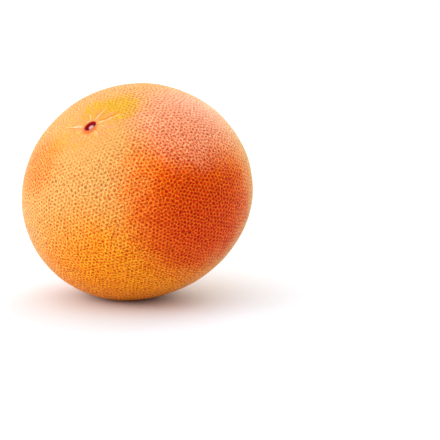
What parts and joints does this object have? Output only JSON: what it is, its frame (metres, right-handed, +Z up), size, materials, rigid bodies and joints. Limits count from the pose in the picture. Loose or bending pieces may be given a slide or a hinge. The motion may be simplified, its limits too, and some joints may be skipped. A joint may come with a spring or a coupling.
{
  "type": "grapefruit",
  "caption": "Whole ripe grapefruit, slightly flattened and uneven, lying on a small flat spot with its stem scar leaning to one side.",
  "frame": {"origin": "on the resting plane, under the middle of the fruit's bounding box, inside the small flat spot that it rests on", "axes": "+Z up; the stem end leans 40 degrees away from +Z, towards -X and -Y; -Y is the side the fruit is seen from"},
  "size_m": [0.114, 0.1136, 0.1045],
  "materials": {
    "peel": "waxy satin rind, dotted all over with dimpled oil glands"
  },
  "bodies": {
    "root": {"grapefruit": "peel"}
  },
  "joints": []
}
